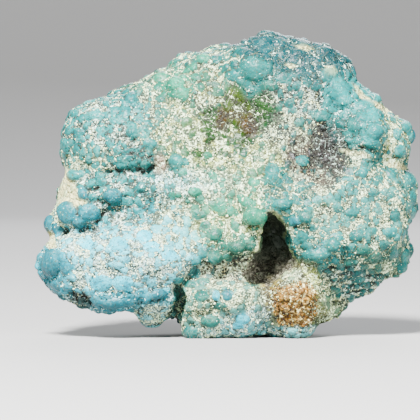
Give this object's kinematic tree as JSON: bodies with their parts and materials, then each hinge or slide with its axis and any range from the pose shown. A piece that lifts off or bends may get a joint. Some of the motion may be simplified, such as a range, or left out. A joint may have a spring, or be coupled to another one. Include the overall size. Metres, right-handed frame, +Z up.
{
  "type": "rough turquoise nugget",
  "caption": "Rough knobbly turquoise nugget with pale matrix, a dark pocket and a brown patch, standing on its broken underside.",
  "frame": {"origin": "under the middle of the stone's bounding box, on the plane that it rests on", "axes": "+Z up, +X to the right along the stone's length as the show face is seen, +Y away from the viewer, through the stone's thickness"},
  "size_m": [0.0384, 0.0208, 0.0305],
  "materials": {
    "turquoise": "rough knobbly turquoise with cream granular matrix, waxy to dull"
  },
  "bodies": {
    "root": {"nugget": "turquoise"}
  },
  "joints": []
}
